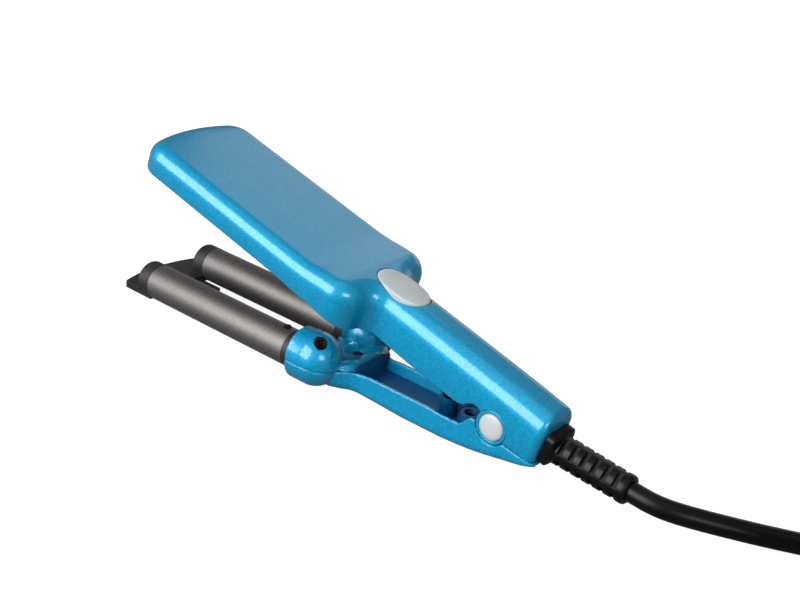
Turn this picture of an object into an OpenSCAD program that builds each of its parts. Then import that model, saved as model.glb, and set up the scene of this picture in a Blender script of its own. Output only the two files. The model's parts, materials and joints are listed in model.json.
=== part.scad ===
// Small three-barrel hair waver: a sprung lower arm with two barrels closes on a head with a third.
// Millimetres throughout. X runs from the barrels to the lead, Y from the near to the far side, Z up.

/* [Upper arm] */
// Half the width of the broad head over the barrels
head_half_width = 22.2; // [21.9:0.1:22.5]
// Distance from the pivot to the front of the head
head_reach = 155.3; // [154.5:0.1:156]
// Half the width of the handle
handle_half_width = 8.6; // [8.6:0.05:8.8]
// Thickness of the moulded shells
wall = 1.8; // [1.6:0.1:1.9]
// Angle between the arms when the spring has opened them, in degrees
open_angle = 14.8; // [14.5:0.1:15]
// How far the power button goes down
button_travel = 1; // [0.6:0.1:1]

/* [Barrels] */
// Radius of each heated barrel
barrel_r = 6.35; // [6.2:0.05:6.4]
// Distance of the two lower barrels from the middle plane
barrel_y = 13.2; // [13.2:0.05:13.4]
// Length of bare metal on each lower barrel
barrel_len = 65.6; // [64:0.2:65.6]
// Wall thickness of the barrel tubes
barrel_wall = 1; // [0.8:0.1:1]

/* [Lower arm] */
// Radius of the rounded sockets that hold the lower barrels
socket_r = 8.6; // [8.4:0.1:8.7]
// Half the width of the lower arm behind the sockets
tray_half_width = 8.5; // [8.4:0.05:8.5]
// Radius of the grey caps over the pivot
pivot_cap_r = 4.4; // [4.2:0.1:4.4]

/* [Lead] */
// Diameter of the mains lead
lead_d = 6.5; // [6.3:0.1:6.5]

/* [Hidden] */
// Where the pivot stands behind the front ends of the lower barrels, and above their axes
pivot_x = 143;
pivot_z = 3;
// Height of the barrel axes over the surface the waver lies on
axis_h = 9.6;
// The row's middle along X, measured from the front ends of the lower barrels
mid_x = 86.2;

front_r = 60;
corner_r = 8.9;
shoulder_r = 9.7;
shoulder_x = -64;
neck_r = 6;
end_x = 16.4;
end_r = 2.5;

corner_y = head_half_width - corner_r;
corner_dx = sqrt(pow(front_r - corner_r, 2) - pow(corner_y, 2));
corner_x = front_r - head_reach - corner_dx;
corner_a = atan2(corner_y, -corner_dx);
shoulder_y = head_half_width - shoulder_r;
neck_y = handle_half_width + neck_r;
neck_dx = sqrt(pow(shoulder_r + neck_r, 2) - pow(neck_y - shoulder_y, 2));
neck_x = shoulder_x + neck_dx;
neck_a = atan2(neck_y - shoulder_y, neck_dx);

// Height of the top face, fillet radius and bottom edge of the upper shell along its length
function top_z(x) = lookup(x, [[-200, 13.7], [-80, 13.7], [-76, 13.85], [-72, 14.25], [-68, 14.85],
  [-64, 15.3], [-60, 15.5], [-50, 15.5], [0, 15.3], [20, 14.75]]);
function fillet(x) = lookup(x, [[-200, 5.1], [-76, 5.1], [-60, 5.7], [-50, 6.8], [20, 6.8]]);
function edge_z(x) = lookup(x, [[-200, 3.65], [-84, 3.65], [-76, 3.1], [-68, 3.0], [-62, 2.4], [-57, 0.9],
  [-52, -0.2], [-45, -0.5], [-38, -0.8], [-31, -0.95], [-17, -0.95], [-14.4, -0.8], [-13.2, -0.5],
  [-11.8, 0], [-10, 1.8], [-7.9, 2.9], [-5.7, 2.4], [-3, 0], [0, -1], [5.4, -2.1], [13.9, -1.7], [17, -1.7]]);

// Points on an arc, each with the direction that faces out of the outline
function arc(cx, cy, r, a0, a1, n, out = 1) =
  [for (i = [0:n]) let (a = a0 + (a1 - a0) * i / n) [cx + r * cos(a), cy + r * sin(a), out * cos(a), out * sin(a)]];
function side(xs, y) = [for (x = xs) [x, y, 0, 1]];

// Half of the upper arm's plan, from the middle of the front to the middle of the back end
half_plan = concat(
  arc(front_r - head_reach, 0, front_r, 180, corner_a, 5),
  [for (i = [1:8]) arc(corner_x, corner_y, corner_r, corner_a, 90, 8)[i]],
  side([-132, -116, -100, -88, -84, -80, -76, -72, -68], head_half_width),
  arc(shoulder_x, shoulder_y, shoulder_r, 90, neck_a, 10),
  [for (i = [1:7]) arc(neck_x, neck_y, neck_r, 180 + neck_a, 270, 7, -1)[i]],
  side([-42, -38, -31, -24, -17, -14.4, -13.2, -11.8, -10, -7.9, -5.7, -3, 0, 5.4, 10], handle_half_width),
  arc(end_x - end_r, handle_half_width - end_r, end_r, 90, 0, 5));
half_n = len(half_plan);
plan = concat([for (p = half_plan) [p[0], -p[1], p[2], -p[3]]],
  [for (i = [half_n - 1:-1:1]) half_plan[i]]);
plan_n = len(plan);

// One point of the shell: set in by the wall, then rolled over the top fillet by angle a
function shell_point(p, inset, a) =
  let (r = fillet(p[0]) - inset, s = 1 - cos(a), xb = p[0] - p[2] * inset, yb = p[1] - p[3] * inset,
    z = top_z(p[0]) - inset - r + r * sin(a))
  p[0] > 0 ? [xb - p[2] * 0.9 * (end_r - inset) * s, yb * (1 - r * s / (handle_half_width - inset)), z]
  : [xb - p[2] * r * s, yb - p[3] * r * s, z];
function shell_ring(inset, a) = [for (p = plan) shell_point(p, inset, a)];
function shell_rim(inset) = [for (p = plan) [p[0] - p[2] * inset, p[1] - p[3] * inset, edge_z(p[0])]];
function strip(a, b, n, flip = false) = [for (i = [0:n - 1]) let (j = (i + 1) % n)
  each flip ? [[a + i, a + j, b + j], [a + i, b + j, b + i]] : [[a + i, b + j, a + j], [a + i, b + i, b + j]]];
function ladder(a, n, flip = false) = concat(
  flip ? [[a, a + 1, a + 2 * n - 2]] : [[a, a + 2 * n - 2, a + 1]],
  [for (i = [1:n - 2]) let (p = a + i, q = a + 2 * n - 1 - i)
    each flip ? [[p, p + 1, q - 1], [p, q - 1, q]] : [[p, q - 1, p + 1], [p, q, q - 1]]]);

module upper_shell_form() {
  outer = [0, 15, 30, 45, 60, 75, 90];
  inner = [0, 30, 60, 90];
  rings = concat([shell_rim(0)], [for (a = outer) shell_ring(0, a)],
    [shell_rim(wall)], [for (a = inner) shell_ring(wall, a)]);
  n = plan_n;
  k = len(outer) + 1;
  m = len(inner) + 1;
  polyhedron(
    points = [for (r = rings) each r],
    faces = concat(
      [for (i = [0:k - 2]) each strip(i * n, (i + 1) * n, n)],
      ladder((k - 1) * n, half_n),
      [for (i = [0:m - 2]) each strip((k + i) * n, (k + i + 1) * n, n, true)],
      ladder((k + m - 1) * n, half_n, true),
      strip(0, k * n, n, true)),
    convexity = 8);
}

// The same plan set in by a distance, as a flat outline
module plan_outline(inset) {
  polygon([for (p = plan) [p[0] - p[2] * inset, p[1] - p[3] * inset]]);
}

// A rounded tube along a list of points, closed at both ends; up is a direction it never runs along
function unit(v) = v / norm(v);
function tube_ring(p, t, up, r, n) = let (u = unit(cross(t, up)), v = cross(u, t))
  [for (i = [0:n - 1]) let (a = 360 * (i + 0.5) / n) p + r * (cos(a) * u + sin(a) * v)];
module tube(path, r, n, up = [0, 0, 1]) {
  m = len(path);
  rings = [for (i = [0:m - 1]) tube_ring(path[i],
    unit(path[min(i + 1, m - 1)] - path[max(i - 1, 0)]), up, r, n)];
  polyhedron(
    points = [for (q = rings) each q],
    faces = concat(
      [[for (i = [n - 1:-1:0]) i]],
      [for (i = [0:m - 2]) each strip(i * n, (i + 1) * n, n, true)],
      [[for (i = [0:n - 1]) (m - 1) * n + i]]),
    convexity = 10);
}

// A smooth line through a few chosen points
function between(a, b, c, d, t) = 0.5 * (2 * b + (c - a) * t + (2 * a - 5 * b + 4 * c - d) * t * t
  + (3 * b - a - 3 * c + d) * t * t * t);
function smooth(p, k) = let (m = len(p)) concat(
  [for (i = [0:m - 2]) for (j = [0:k - 1])
    between(p[max(i - 1, 0)], p[i], p[i + 1], p[min(i + 2, m - 1)], j / k)], [p[m - 1]]);

// Coordinates of the lower arm: barrel axes at height zero, front ends of the barrels at X zero
module arm_place() {
  translate([-mid_x, 0, axis_h]) children();
}

// Coordinates of the upper arm: pivot at the origin
module handle_place() {
  arm_place() translate([pivot_x, 0, pivot_z]) rotate([0, open_angle, 0]) children();
}

// A cylinder along X between two positions
module rod_x(x0, x1, r, y = 0, z = 0, fn = 64) {
  translate([x0, y, z]) rotate([0, 90, 0]) cylinder(h = x1 - x0, r = r, $fn = fn);
}
module rod_y(y0, y1, r, x = 0, z = 0, fn = 64) {
  translate([x, y0, z]) rotate([-90, 0, 0]) cylinder(h = y1 - y0, r = r, $fn = fn);
}
module rod_z(z0, z1, r, x = 0, y = 0, fn = 48) {
  translate([x, y, z0]) cylinder(h = z1 - z0, r = r, $fn = fn);
}
module block(x0, x1, y0, y1, z0, z1) {
  translate([x0, y0, z0]) cube([x1 - x0, y1 - y0, z1 - z0]);
}
module both_sides() {
  children();
  mirror([0, 1, 0]) children();
}

// Middle barrel, in the upper arm's coordinates
mid_z = -0.7;
mid_front = -148;
mid_back = -80;
holder_r = 6.4;
spigot_r = barrel_r - barrel_wall - 0.05;
shield_z = 3.9;
shield_t = 1.4;
ceiling_z = 7.2;
post_x = [-142, -88];
post_y = 15;
button_x = -50.5;
clamp_x = 10.3;
relief_z = 3.95;

function oval(half_long, half_wide, n) = [for (i = [0:n - 1]) let (a = 360 * i / n)
  [half_long * sign(cos(a)) * pow(abs(cos(a)), 0.85), half_wide * sign(sin(a)) * pow(abs(sin(a)), 0.85)]];

module upper_shell() {
  color([0.02, 0.52, 0.72])
  handle_place() difference() {
    union() {
      upper_shell_form();
      both_sides() rod_y(5.9, handle_half_width, 5.6);
      for (x = post_x) both_sides() rod_z(shield_z + 3, 12.4, 2.6, x, post_y);
      both_sides() rod_z(4.1, 13, 1.6, clamp_x, 5.1);
      rod_z(3.2, 14, 2.2, -13.6, 0);
    }
    both_sides() rod_y(6.9, 12, pivot_cap_r + 0.1);
    rod_y(-10, 10, 1.5);
    // A fine groove round the top of the pivot boss
    both_sides() intersection() {
      difference() {
        rod_y(handle_half_width - 0.3, 12, 6);
        rod_y(handle_half_width - 0.4, 12.5, 5.6);
      }
      translate([0, 0, -1]) rotate([0, 45, 0]) block(-7, 10, 8, 13, 0, 10);
    }
    translate([button_x, 0, 10]) linear_extrude(10) polygon(oval(10.2, 6.3, 48));
    for (x = post_x) both_sides() rod_z(shield_z + 2, 10.6, 1.02, x, post_y);
    both_sides() rod_z(3, 10, 0.82, clamp_x, 5.1);
    rod_z(2.5, 9, 1.02, -13.6, 0);
    block(14, 18, -3.9, 3.9, 0.05, 7.85);
  }
}

module heat_shield() {
  color([0.05, 0.05, 0.05])
  handle_place() difference() {
    union() {
      intersection() {
        translate([0, 0, shield_z]) linear_extrude(shield_t) plan_outline(wall + 0.1);
        block(-160, -74.3, -30, 30, 0, 20);
      }
      intersection() {
        translate([0, 0, ceiling_z]) linear_extrude(1.2) plan_outline(wall + 0.1);
        block(-75.5, -56, -30, 30, 0, 20);
      }
      intersection() {
        translate([0, 0, shield_z]) linear_extrude(ceiling_z + 0.6 - shield_z) plan_outline(wall + 0.1);
        block(-75.5, -74.3, -30, 30, 0, 20);
      }
      intersection() {
        rod_x(-153.3, -74.3, 8, 0, mid_z);
        block(-160, -70, -10, 10, shield_z, 20);
      }
      for (x = post_x) both_sides() rod_z(shield_z, shield_z + 3, 3, x, post_y);
    }
    rod_x(mid_front, mid_back, holder_r + 0.35, 0, mid_z);
    rod_x(-154, mid_front + 0.01, holder_r + 0.04, 0, mid_z);
    rod_x(mid_back - 0.01, -73, holder_r + 0.04, 0, mid_z);
    for (x = post_x) both_sides() {
      rod_z(3, 8, 1.05, x, post_y);
      rod_z(3, shield_z + 1.5, 2.2, x, post_y);
    }
    for (x = [-150.6, -75.9]) rod_z(3, 9, 1.05, x, 0);
    rod_z(3, 9, 2.1, -78.7, 0);
    rod_z(7.25, 9, 2.1, -75.9, 0);
  }
}

module base_cover() {
  color([0.02, 0.5, 0.7])
  handle_place() difference() {
    union() {
      intersection() {
        translate([0, 0, -0.4]) linear_extrude(1.4) plan_outline(wall + 0.1);
        block(-55.8, -12, -30, 30, -5, 20);
      }
      intersection() {
        translate([0, 0, 0]) linear_extrude(ceiling_z) plan_outline(wall + 0.1);
        block(-55.8, -54.6, -30, 30, -5, 20);
      }
      rod_z(0, 3.5, 3.3, -21.3, 0);
      rod_z(0, 3.1, 2.1, -13.6, 0);
      for (x = [-40, -30]) both_sides() rod_z(0.5, 4.6, 1.2, x, 4.4);
    }
    rod_z(-3, 2.3, 2.5, -21.3, 0);
    rod_z(-3, 5, 1.05, -13.6, 0);
    rod_z(-3, 0.9, 1.75, -13.6, 0);
    block(-12.4, -9, -3.1, 3.1, -3, -0.7);
  }
}

module cord_clamp() {
  color([0.02, 0.5, 0.7])
  handle_place() difference() {
    block(7.2, 13.4, -6.7, 6.7, -1.9, 4);
    rod_x(6, 15, lead_d / 2, 0, relief_z);
    both_sides() rod_z(-3, 5, 0.86, clamp_x, 5.1);
    both_sides() rod_z(-3, 0.2, 1.5, clamp_x, 5.1);
  }
}

module power_button() {
  color([0.72, 0.74, 0.75])
  handle_place() translate([button_x, 0, 0]) {
    translate([0, 0, 12.6]) linear_extrude(2.85) polygon(oval(10, 6.1, 48));
    intersection() {
      translate([0, 0, 15.4]) linear_extrude(1) polygon(oval(9.9, 6, 48));
      translate([0, 0, 15.75 - 90]) sphere(r = 90, $fn = 128);
    }
    intersection() {
      translate([0, 0, 12.1]) linear_extrude(0.6) polygon(oval(11, 6.1, 48));
      block(-12, 12, -2, 2, 12, 13);
    }
    rod_z(10.1, 12.7, 1.5);
  }
}

module tact_switch() {
  color([0.12, 0.12, 0.13])
  handle_place() block(button_x - 3, button_x + 3, -3, 3, 5.8, 8.9);
}

module button_spring() {
  color([0.6, 0.6, 0.58])
  handle_place() translate([button_x, 0, 0])
    tube([for (i = [0:28]) [2.3 * cos(i * 45), 2.3 * sin(i * 45), 9.2 + 2.7 * i / 28]], 0.22, 6);
}

module control_board() {
  color([0.1, 0.35, 0.2])
  handle_place() difference() {
    block(-54.3, -16.5, -6.2, 6.2, 4.6, 5.8);
    both_sides() rod_z(4, 7, 0.6, -18, 4.5);
  }
}

module board_parts() {
  color([0.15, 0.15, 0.16])
  handle_place() {
    rod_z(5.8, 11.2, 2.9, -27, 1.5);
    block(-38, -32, -2.5, 4.5, 5.8, 9.4);
    block(-44.5, -41, -5.5, -0.5, 5.8, 7.2);
    block(-22.5, -19.5, -3.5, 3.5, 5.8, 10.2);
    block(-31, -24, -5.6, -2.2, 5.8, 8.2);
  }
}

module thermal_fuse() {
  color([0.7, 0.68, 0.6])
  handle_place() rod_x(-71, -62, 1.3, 6, ceiling_z + 1.2 + 1.32, 32);
}

module power_leads() {
  color([0.55, 0.3, 0.15])
  handle_place() for (y = [-1.1, 1.1])
    tube(smooth([[6.9, y, 3.95], [4.4, y, 5.6], [1.5, y * 1.3, 8.4], [-4, y * 1.6, 9.6],
      [-10, y * 3.4, 9.4], [-15, y * 2.6, 8.2], [-19.4, y * 1.8, 7.5]], 3), 0.7, 6);
}

module heater_leads() {
  color([0.75, 0.1, 0.08])
  handle_place() for (y = [-0.9, 0.9])
    tube(smooth([[-83, y, mid_z], [-80.6, y, mid_z + 0.6], [-79.1, y, 2.4], [-78.8, y, 5], [-78.8, y, 8],
      [-77.8, y * 1.1, 9.9], [-75, y * 1.3, 10.4], [-68, y * 2.2, 10.2], [-60, y * 3.8, 9.9], [-56, y * 4.4, 9.6],
      [-53, y * 4.6, 8.2], [-50, y * 4.6, 7.1], [-46, y * 4.6, 6.7]], 3), 0.6, 6);
}

module middle_barrel() {
  color([0.3, 0.28, 0.26])
  handle_place() difference() {
    rod_x(mid_front, mid_back, barrel_r, 0, mid_z);
    rod_x(mid_front - 1, mid_back + 1, barrel_r - barrel_wall, 0, mid_z);
  }
}

module middle_tip() {
  color([0.06, 0.06, 0.06])
  handle_place() difference() {
    union() {
      rod_x(-153.2, mid_front, holder_r, 0, mid_z);
      rod_x(mid_front - 0.5, mid_front + 5, spigot_r, 0, mid_z);
    }
    rod_z(0.5, 9, 1.02, -150.6, 0);
  }
}

module middle_collar() {
  color([0.06, 0.06, 0.06])
  handle_place() difference() {
    union() {
      rod_x(mid_back, -74, holder_r, 0, mid_z);
      rod_x(mid_back - 6, mid_back + 0.5, spigot_r, 0, mid_z);
    }
    rod_x(-90, -77.4, 3, 0, mid_z);
    rod_z(mid_z, 8, 1.75, -78.6, 0);
    rod_z(3.4, 8, 1.02, -75.9, 0);
  }
}

// Two half-round aluminium cores that press a flat heating strip against the tube
module core_pair(x0, x1, y, z) {
  for (s = [-1, 1]) intersection() {
    rod_x(x0, x1, spigot_r, y, z);
    block(x0 - 1, x1 + 1, y - 8, y + 8, z + (s > 0 ? 1.1 : -8), z + (s > 0 ? 8 : -1.1));
  }
}

module middle_heater() {
  color([0.75, 0.76, 0.78])
  handle_place() core_pair(-140, -90, 0, mid_z);
}

module middle_element() {
  color([0.35, 0.33, 0.3])
  handle_place() block(-138, -88, -4, 4, mid_z - 1.05, mid_z + 1.05);
}

module holder_screws() {
  color([0.7, 0.7, 0.72])
  handle_place() {
    rod_z(7.3, 8.4, 1.9, -150.6, 0);
    rod_z(1, 7.4, 1, -150.6, 0);
    rod_z(7.3, 8.4, 1.9, -75.9, 0);
    rod_z(3.6, 7.4, 1, -75.9, 0);
  }
}

module shield_screws() {
  color([0.7, 0.7, 0.72])
  handle_place() for (x = post_x) both_sides() {
    rod_z(shield_z + 0.2, shield_z + 1.45, 1.9, x, post_y);
    rod_z(shield_z + 1.3, 10, 1, x, post_y);
  }
}

module cover_screw() {
  color([0.7, 0.7, 0.72])
  handle_place() {
    rod_z(-0.3, 0.85, 1.65, -13.6, 0);
    rod_z(0.7, 8, 1, -13.6, 0);
  }
}

module clamp_screws() {
  color([0.7, 0.7, 0.72])
  handle_place() both_sides() {
    rod_z(-1.1, 0.15, 1.4, clamp_x, 5.1);
    rod_z(0, 9.5, 0.8, clamp_x, 5.1);
  }
}

module pivot_screw() {
  color([0.72, 0.72, 0.74])
  handle_place() {
    rod_y(-6.95, 6.95, 1.45);
    rod_y(-8, -6.9, 2.8);
    rod_y(6.9, 8, 2.8, 0, 0, 6);
  }
}

// A grey cap with a slightly domed face, hollow over the end of the pivot screw
module pivot_cap() {
  difference() {
    union() {
      rod_y(6.9, 8.8, pivot_cap_r);
      intersection() {
        rod_y(8.7, 9.4, pivot_cap_r - 0.02);
        translate([0, 9.15 - 30, 0]) sphere(r = 30, $fn = 128);
      }
    }
    rod_y(6, 8.1, 3.3);
  }
}
module near_pivot_cap() {
  color([0.76, 0.77, 0.78])
  handle_place() mirror([0, 1, 0]) pivot_cap();
}
module far_pivot_cap() {
  color([0.76, 0.77, 0.78])
  handle_place() pivot_cap();
}

// Height of the joint line between the two mouldings of the lower arm, and the arm's other outlines
function seam_z(x) = lookup(x, [[60, 0.3], [79, 0.3], [84.5, -0.9], [91, -0.9], [95, -0.5], [118, -0.5],
  [123, -0.9], [131, -1], [132.4, 0], [134, 1.9], [135, 2.7], [137.7, 3], [142, 3], [147.5, -0.8], [159, -3.2]]);
function bottom_z(x) = lookup(x, [[78, -8.2], [84, -8.2], [88, -8.5], [91, -8.8], [98, -9.05], [104.5, -9.4],
  [108, -9.6], [124, -9.6], [130.5, -9.25], [136.7, -8.7], [142.6, -7.8], [148.5, -6.7], [154.2, -5.45],
  [157, -4.75], [158.8, -4.2]]);
function tray_w(x) = lookup(x, [[78, 15.6], [82, 15.2], [84, 14], [85.2, 12.8], [86.4, 11.4], [87.6, 10.25],
  [88.9, 9.4], [90.2, 8.85], [91.5, 8.6], [93, tray_half_width], [150, tray_half_width], [156, 8.2], [158.8, 7.2]]);
function tray_edge(x) = lookup(x, [[78, 6], [84, 5], [88, 3.4], [91, 2.6], [94, 2.4], [148, 2.4], [158.8, 0.7]]);

module tray_form() {
  xs = [78, 82, 84, 85.2, 86.4, 87.6, 88.9, 90.2, 91.5, 93, 95, 98, 104.5, 108, 118, 124, 130.5, 132.4, 134, 135,
    137.7, 142, 144.7, 147.5, 151, 154.2, 157, 158.8];
  m = len(xs);
  rings = [for (x = xs) let (w = tray_w(x), t = seam_z(x), b = bottom_z(x), e = tray_edge(x)) concat(
    [[x, -w, t + 1.5]],
    [for (i = [0:5]) let (a = 180 + 18 * i) [x, -w + e + e * cos(a), b + e + e * sin(a)]],
    [for (i = [0:5]) let (a = 270 + 18 * i) [x, w - e + e * cos(a), b + e + e * sin(a)]],
    [[x, w, t + 1.5]])];
  n = len(rings[0]);
  polyhedron(
    points = [for (q = rings) each q],
    faces = concat(
      [[for (i = [0:n - 1]) i]],
      [for (i = [0:m - 2]) each strip(i * n, (i + 1) * n, n)],
      [[for (i = [n - 1:-1:0]) (m - 1) * n + i]]),
    convexity = 6);
}

module seam_side(above, gap) {
  xs = [60, 79, 84.5, 91, 95, 118, 123, 131, 132.4, 134, 135, 137.7, 142, 147.5, 159];
  rotate([90, 0, 0]) linear_extrude(60, center = true)
    polygon(concat([for (x = xs) [x, seam_z(x) + gap]], above ? [[159, 30], [60, 30]] : [[159, -30], [60, -30]]));
}

ear_in = 3.9;
ear_out = 5.7;

module arm_base() {
  color([0.02, 0.52, 0.72])
  arm_place() difference() {
    union() {
      difference() {
        intersection() {
          union() {
            tray_form();
            both_sides() rod_x(69.7, 76, socket_r, barrel_y);
            both_sides() translate([76, barrel_y, 0]) sphere(r = socket_r, $fn = 64);
            block(72.6, 80, -8, 8, -8.1, 5);
          }
          seam_side(false, 0);
          block(69.7, 170, -30, 30, -12, 12);
        }
        // Channel between the side walls, space under its floor, and hollow under the pivot
        block(87.9, 137.2, -7.6, 7.6, -6.1, 10);
        block(89, 137, -6.4, 6.4, -7.9, -5);
        rotate([90, 0, 0]) linear_extrude(15, center = true)
          polygon([[136, -7.2], [142.6, -6.4], [148.9, -5.1], [148.9, 8], [136, 8]]);
        both_sides() rod_y(5.8, 12, 5.9, pivot_x, pivot_z);
        block(76.7, 82, -barrel_y, barrel_y, -4.6, 5);
        block(79, 89.5, -8.4, 8.4, -7.45, 5);
      }
      // Ears that turn on the pivot screw
      both_sides() {
        rod_y(ear_in, ear_out, 4.8, pivot_x, pivot_z);
        translate([0, ear_out, 0]) rotate([90, 0, 0]) linear_extrude(ear_out - ear_in)
          polygon([[138.3, -7.8], [142.6, -7], [147.7, -6], [147.7, 3], [138.3, 3]]);
      }
      rod_z(-7.5, -1.2, 2.6, 82.5, 0);
      rod_z(-8.5, -6.05, 2.4, 129.8, 0);
    }
    both_sides() rod_x(69, 76.7, holder_r + 0.05, barrel_y);
    rod_y(-10, 10, 1.52, pivot_x, pivot_z);
    rod_z(-6.5, 0, 0.82, 82.5, 0);
    rod_z(-8, -5, 0.82, 129.8, 0);
    both_sides() rod_z(-5.5, 5, 1.02, 79.3, 15.7);
  }
}

land_half = [[72.6, 8], [78, 13], [82, 14.6], [84.2, 13.2], [86.4, 10.6], [88.9, 8.7], [89.3, 8.3]];

module arm_cover() {
  color([0.02, 0.5, 0.7])
  arm_place() difference() {
    union() {
      intersection() {
        union() {
          both_sides() difference() {
            union() {
              rod_x(69.7, 76, socket_r - 0.1, barrel_y, 1.2);
              translate([76, barrel_y, 1.2]) sphere(r = socket_r, $fn = 64);
            }
            block(60, 72.5, -5, 10.4, -5, 20);
            block(60, 69.7, 0, 30, -12, 12);
          }
          both_sides() rod_x(69.7, 72.7, 7.1, barrel_y);
          linear_extrude(1) polygon(concat(land_half, [for (i = [6:-1:0]) [land_half[i][0], -land_half[i][1]]]));
          translate([0, 0, -2]) linear_extrude(2.3) polygon(concat(
            [for (p = land_half) [p[0], p[1] + 0.6]], [for (i = [6:-1:0]) [land_half[i][0], -land_half[i][1] - 0.6]]));
        }
        seam_side(true, 0.14);
      }
      block(88.2, 89.4, -7.4, 7.4, -6, 1);
      block(88.2, 135.4, -7.45, 7.45, -6, -4.75);
      rod_z(-5, 0, 3.1, 121.3, 0);
      rod_z(-5, 0.7, 3.4, 129.8, 0);
      rod_z(-1.1, 0.8, 2.7, 82.5, 0);
    }
    both_sides() rod_x(69, 76.7, holder_r + 0.05, barrel_y);
    both_sides() block(76.6, 80.4, 5, 14, -2, 3.4);
    rod_z(-3.4, 3, 2.45, 121.3, 0);
    rod_z(-3.6, 3, 2.1, 129.8, 0);
    rod_z(-8, 3, 0.86, 129.8, 0);
    rod_z(-0.1, 3, 2, 82.5, 0);
    rod_z(-3, 3, 0.86, 82.5, 0);
    both_sides() rod_z(4.2, 14, 2.2, 79.3, 15.7);
    both_sides() rod_z(-2, 8, 1.06, 79.3, 15.7);
  }
}

module lower_barrel() {
  difference() {
    rod_x(0, barrel_len, barrel_r, barrel_y);
    rod_x(-1, barrel_len + 1, barrel_r - barrel_wall, barrel_y);
    rod_z(0, 10, 0.86, 62, barrel_y - 0.3);
  }
}
module near_barrel() {
  color([0.3, 0.28, 0.26])
  arm_place() mirror([0, 1, 0]) lower_barrel();
}
module far_barrel() {
  color([0.3, 0.28, 0.26])
  arm_place() lower_barrel();
}

module rear_collar() {
  difference() {
    union() {
      rod_x(barrel_len, 76.6, holder_r, barrel_y);
      rod_x(barrel_len - 8, barrel_len + 0.5, spigot_r, barrel_y);
    }
    rod_x(50, 80, 3, barrel_y);
    rod_z(2, 10, 0.86, 62, barrel_y - 0.3);
  }
}
module near_collar() {
  color([0.07, 0.07, 0.07])
  arm_place() mirror([0, 1, 0]) rear_collar();
}
module far_collar() {
  color([0.07, 0.07, 0.07])
  arm_place() rear_collar();
}

// Caps on the front ends of the lower barrels, joined by a thin bridge
module tip_bridge() {
  color([0.05, 0.05, 0.05])
  arm_place() difference() {
    union() {
      both_sides() {
        rod_x(-4.6, 0, holder_r, barrel_y);
        rod_x(-5.4, -4.5, holder_r - 0.8, barrel_y);
        translate([-4.6, barrel_y, 0]) rotate([0, 90, 0]) rotate_extrude($fn = 64)
          translate([holder_r - 0.8, 0]) circle(r = 0.8, $fn = 24);
        rod_x(-0.5, 6, spigot_r, barrel_y);
      }
      intersection() {
        translate([0, 0, -5.6]) linear_extrude(2.6) difference() {
          translate([36.6, 0]) circle(r = 53, $fn = 180);
          translate([0, -40]) square([90, 22.5]);
          translate([0, 17.5]) square([90, 22.5]);
        }
        block(-20, -0.2, -17.5, 17.5, -10, 0);
      }
      block(-6, 10, -6.9, 6.9, -5.6, -4.2);
    }
    rod_x(-14.5, 20, 6.9, 0, 2.6);
  }
}

module near_heater() {
  color([0.75, 0.76, 0.78])
  arm_place() core_pair(7, 56, -barrel_y, 0);
}
module far_heater() {
  color([0.75, 0.76, 0.78])
  arm_place() core_pair(7, 56, barrel_y, 0);
}
module near_element() {
  color([0.35, 0.33, 0.3])
  arm_place() block(9, 57, -barrel_y - 4, -barrel_y + 4, -1.05, 1.05);
}
module far_element() {
  color([0.35, 0.33, 0.3])
  arm_place() block(9, 57, barrel_y - 4, barrel_y + 4, -1.05, 1.05);
}

module arm_leads() {
  color([0.75, 0.1, 0.08])
  arm_place() both_sides()
    tube(smooth([[57.3, barrel_y, 0], [72, barrel_y, 0], [77.4, 12.4, -0.6], [79, 10.4, -2.4], [81.6, 7.2, -4.6],
      [84.6, 5.4, -6.2], [87.4, 4.9, -6.72], [90, 4.8, -6.72], [120, 4.8, -6.72], [131, 3.6, -6.72],
      [136, 2.8, -6.62], [138.8, 2.6, -5.6], [141, 2.6, -3.4]], 3), 0.6, 6);
}

module barrel_screws() {
  color([0.1, 0.1, 0.1])
  arm_place() both_sides() {
    rod_z(3.4, 6.5, 0.8, 62, barrel_y - 0.3, 32);
    rod_z(6.37, 6.85, 1.3, 62, barrel_y - 0.3, 32);
  }
}

module socket_screws() {
  color([0.2, 0.2, 0.2])
  arm_place() both_sides() {
    rod_z(4.2, 5.6, 1.9, 79.3, 15.7);
    rod_z(-5, 4.3, 1, 79.3, 15.7);
  }
}

module arm_screws() {
  color([0.2, 0.2, 0.2])
  arm_place() {
    rod_z(-0.1, 0.7, 1.7, 82.5, 0);
    rod_z(-6, 0, 0.8, 82.5, 0);
    rod_z(-3.6, -2.2, 1.9, 129.8, 0);
    rod_z(-7.8, -3.5, 0.8, 129.8, 0);
  }
}

module return_spring() {
  color([0.62, 0.62, 0.6])
  arm_place() tube(concat(
    [for (i = [0:8]) [121.3 + 1.95 * cos(i * 45), 1.95 * sin(i * 45), -3.05 + 0.75 * i / 8]],
    [for (i = [9:55]) [121.3 + 0.9 * (i - 8) / 48 + 1.95 * cos(i * 45), 1.95 * sin(i * 45), -2.3 + 11.1 * (i - 8) / 48]],
    [for (i = [56:64]) [122.2 + 1.95 * cos(i * 45), 1.95 * sin(i * 45), 8.8 + 0.75 * (i - 56) / 8]]), 0.33, 6);
}

// Strain relief: a block held in the end wall, then a ribbed sleeve that leans with the lead
sleeve_start = [162.6, 0, 1.55];
sleeve_end = [188.3, 0, -1.1];
sleeve_len = norm(sleeve_end - sleeve_start);
sleeve_tilt = atan2(sleeve_start[2] - sleeve_end[2], sleeve_end[0] - sleeve_start[0]);

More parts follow.
